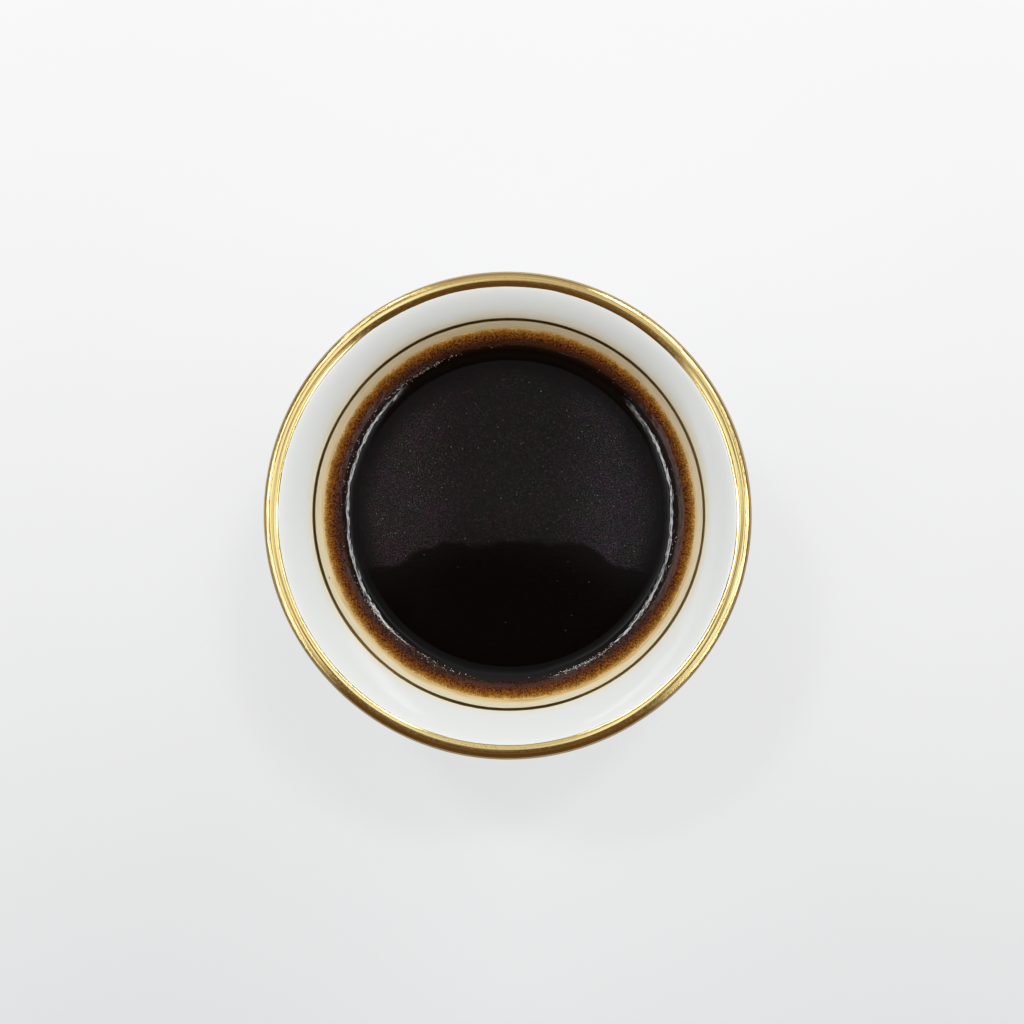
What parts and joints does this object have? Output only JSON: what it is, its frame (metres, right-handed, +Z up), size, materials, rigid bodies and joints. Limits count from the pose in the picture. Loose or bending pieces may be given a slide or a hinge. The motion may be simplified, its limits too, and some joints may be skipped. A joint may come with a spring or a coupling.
{
  "type": "cup of turkish coffee",
  "caption": "Small handleless porcelain cup with a gilt lip, filled with black coffee that has a thin ring of brown foam where it meets the wall.",
  "frame": {"origin": "centre of the flat foot ring, on the surface that the cup stands on", "axes": "+Z up along the cup's axis, out of its mouth; the cup is round, and -Y is the side nearest the viewer of the picture"},
  "size_m": [0.066, 0.066, 0.05],
  "materials": {
    "porcelain": "glossy white glaze, bare foot ring",
    "gold": "bright fired gilding",
    "coffee": "wet, nearly black brown liquid",
    "foam": "fine moist brown foam"
  },
  "bodies": {
    "root": {"cup": "porcelain", "gilt_rim": "gold", "coffee": "coffee", "foam_ring": "foam"}
  },
  "joints": []
}
